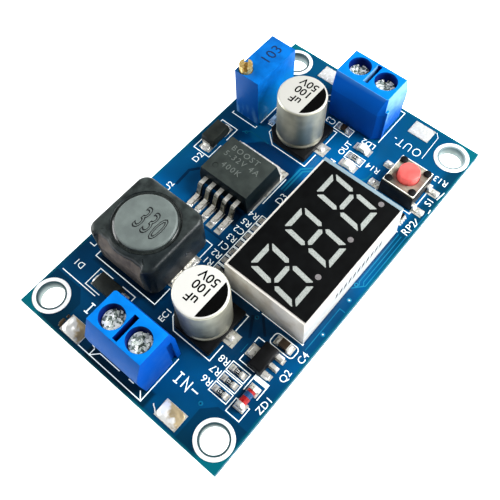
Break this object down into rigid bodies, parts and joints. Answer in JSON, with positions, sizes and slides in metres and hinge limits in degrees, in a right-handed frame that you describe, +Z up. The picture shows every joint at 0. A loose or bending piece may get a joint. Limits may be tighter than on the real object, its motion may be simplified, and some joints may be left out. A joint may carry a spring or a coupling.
{
  "type": "boost converter module",
  "caption": "Rectangular circuit board with screw terminals at both ends, capacitors, a shielded inductor, a regulator, a trimmer, a push button and a numeric voltage display.",
  "frame": {"origin": "under the middle of the board, at the level of the trimmed lead ends it stands on", "axes": "+X from the input edge to the output edge, +Y from the display edge to the trimmer edge, +Z up from the component side"},
  "size_m": [0.0666, 0.039, 0.0146],
  "materials": {
    "board": "glossy solder mask on glass epoxy",
    "tin": "bright tin",
    "solder": "bright solder",
    "blue_plastic": "moulded, lightly glossy",
    "zinc": "zinc plated",
    "can_metal": "satin",
    "black_plastic": "matt moulding",
    "ferrite": "dull, slightly grained",
    "copper": "enamelled wire",
    "brass": "bright",
    "trimmer_blue": "moulded, lightly glossy",
    "nylon": "natural",
    "alumina": "matt",
    "cover_metal": "satin",
    "red_plastic": "matt moulding",
    "white_plastic": "moulded, lightly glossy",
    "face_black": "satin film",
    "segment_grey": "diffusing resin",
    "laminate": "bare laminate",
    "chip_black": "glazed",
    "chip_brown": "fired ceramic",
    "lamp_white": "clear resin",
    "glass": "clear tinted glass"
  },
  "bodies": {
    "board_assembly": {"circuit_board": "board", "tinned_pads": "tin", "solder_joints": "solder", "input_terminal_housing": "blue_plastic", "output_terminal_housing": "blue_plastic", "input_terminal_contacts": "tin", "output_terminal_contacts": "tin", "inductor_shield": "ferrite", "inductor_core": "ferrite", "inductor_winding": "copper", "inductor_clips": "tin", "regulator_body": "black_plastic", "regulator_leads": "tin", "regulator_tab": "tin", "trimmer_housing": "trimmer_blue", "trimmer_plate": "alumina", "trimmer_pins": "tin", "switch_base": "black_plastic", "switch_cover": "cover_metal", "switch_dome": "zinc", "switch_legs": "tin", "display_shell": "white_plastic", "display_face": "face_black", "display_segments": "segment_grey", "display_board": "laminate", "display_pins": "tin", "resistor_bodies": "chip_black", "resistor_ends": "tin", "chip_capacitor_bodies": "chip_brown", "chip_capacitor_ends": "tin", "array_body": "chip_black", "array_ends": "tin", "lamp_bases": "white_plastic", "lamp_lenses": "lamp_white", "rectifier_bodies": "black_plastic", "rectifier_leads": "tin", "glass_diode_tubes": "glass", "glass_diode_caps": "tin", "transistor_body": "black_plastic", "transistor_leads": "tin", "meter_chip_body": "black_plastic", "meter_chip_leads": "tin", "input_capacitor_can": "can_metal", "input_capacitor_base": "black_plastic", "input_capacitor_leads": "tin", "output_capacitor_can": "can_metal", "output_capacitor_base": "black_plastic", "output_capacitor_leads": "tin"},
    "input_plus_screw": {"input_plus_screw": "zinc"},
    "input_plus_clamp": {"input_plus_clamp": "zinc"},
    "input_minus_screw": {"input_minus_screw": "zinc"},
    "input_minus_clamp": {"input_minus_clamp": "zinc"},
    "output_plus_screw": {"output_plus_screw": "zinc"},
    "output_plus_clamp": {"output_plus_clamp": "zinc"},
    "output_minus_screw": {"output_minus_screw": "zinc"},
    "output_minus_clamp": {"output_minus_clamp": "zinc"},
    "trimmer_screw": {"trimmer_screw": "brass"},
    "trimmer_wheel": {"trimmer_wheel": "nylon"},
    "switch_button": {"switch_button": "red_plastic"}
  },
  "joints": [
    {"name": "input_plus_screw_turn", "type": "hinge", "parent": "board_assembly", "child": "input_plus_screw", "pos_m": [-0.02751, 0.00265, 0.0111], "axis": [0, 0, -1], "range_deg": [0, 1200]},
    {"name": "input_plus_clamp_rise", "type": "slide", "parent": "board_assembly", "child": "input_plus_clamp", "axis": [0, 0, 1], "range_m": [0, 0.0015]},
    {"name": "input_minus_screw_turn", "type": "hinge", "parent": "board_assembly", "child": "input_minus_screw", "pos_m": [-0.02751, -0.00235, 0.0111], "axis": [0, 0, -1], "range_deg": [0, 1200]},
    {"name": "input_minus_clamp_rise", "type": "slide", "parent": "board_assembly", "child": "input_minus_clamp", "axis": [0, 0, 1], "range_m": [0, 0.0015]},
    {"name": "output_plus_screw_turn", "type": "hinge", "parent": "board_assembly", "child": "output_plus_screw", "pos_m": [0.02796, 0.00265, 0.0111], "axis": [0, 0, -1], "range_deg": [0, 1200]},
    {"name": "output_plus_clamp_rise", "type": "slide", "parent": "board_assembly", "child": "output_plus_clamp", "axis": [0, 0, 1], "range_m": [0, 0.0015]},
    {"name": "output_minus_screw_turn", "type": "hinge", "parent": "board_assembly", "child": "output_minus_screw", "pos_m": [0.02796, -0.00235, 0.0111], "axis": [0, 0, -1], "range_deg": [0, 1200]},
    {"name": "output_minus_clamp_rise", "type": "slide", "parent": "board_assembly", "child": "output_minus_clamp", "axis": [0, 0, 1], "range_m": [0, 0.0015]},
    {"name": "trimmer_screw_turn", "type": "hinge", "parent": "board_assembly", "child": "trimmer_screw", "pos_m": [0.01573, 0.01631, 0.0111], "axis": [0, 0, -1], "range_deg": [-4500, 4500]},
    {"name": "trimmer_wheel_turn", "type": "hinge", "parent": "board_assembly", "child": "trimmer_wheel", "pos_m": [0.01971, 0.01631, 0.0083], "axis": [0, 1, 0], "range_deg": [-161, 161]},
    {"name": "switch_button_press", "type": "slide", "parent": "board_assembly", "child": "switch_button", "axis": [0, 0, -1], "range_m": [0, 0.00025], "stiffness_N_per_m": 4000, "deforming": ["switch_dome"]}
  ],
  "couplings": [
    {"joint": "input_plus_screw_turn", "follows": "input_plus_clamp_rise", "rad_per_m": 13963},
    {"joint": "input_minus_screw_turn", "follows": "input_minus_clamp_rise", "rad_per_m": 13963},
    {"joint": "output_plus_screw_turn", "follows": "output_plus_clamp_rise", "rad_per_m": 13963},
    {"joint": "output_minus_screw_turn", "follows": "output_minus_clamp_rise", "rad_per_m": 13963},
    {"joint": "trimmer_wheel_turn", "follows": "trimmer_screw_turn", "ratio": 0.035714}
  ]
}
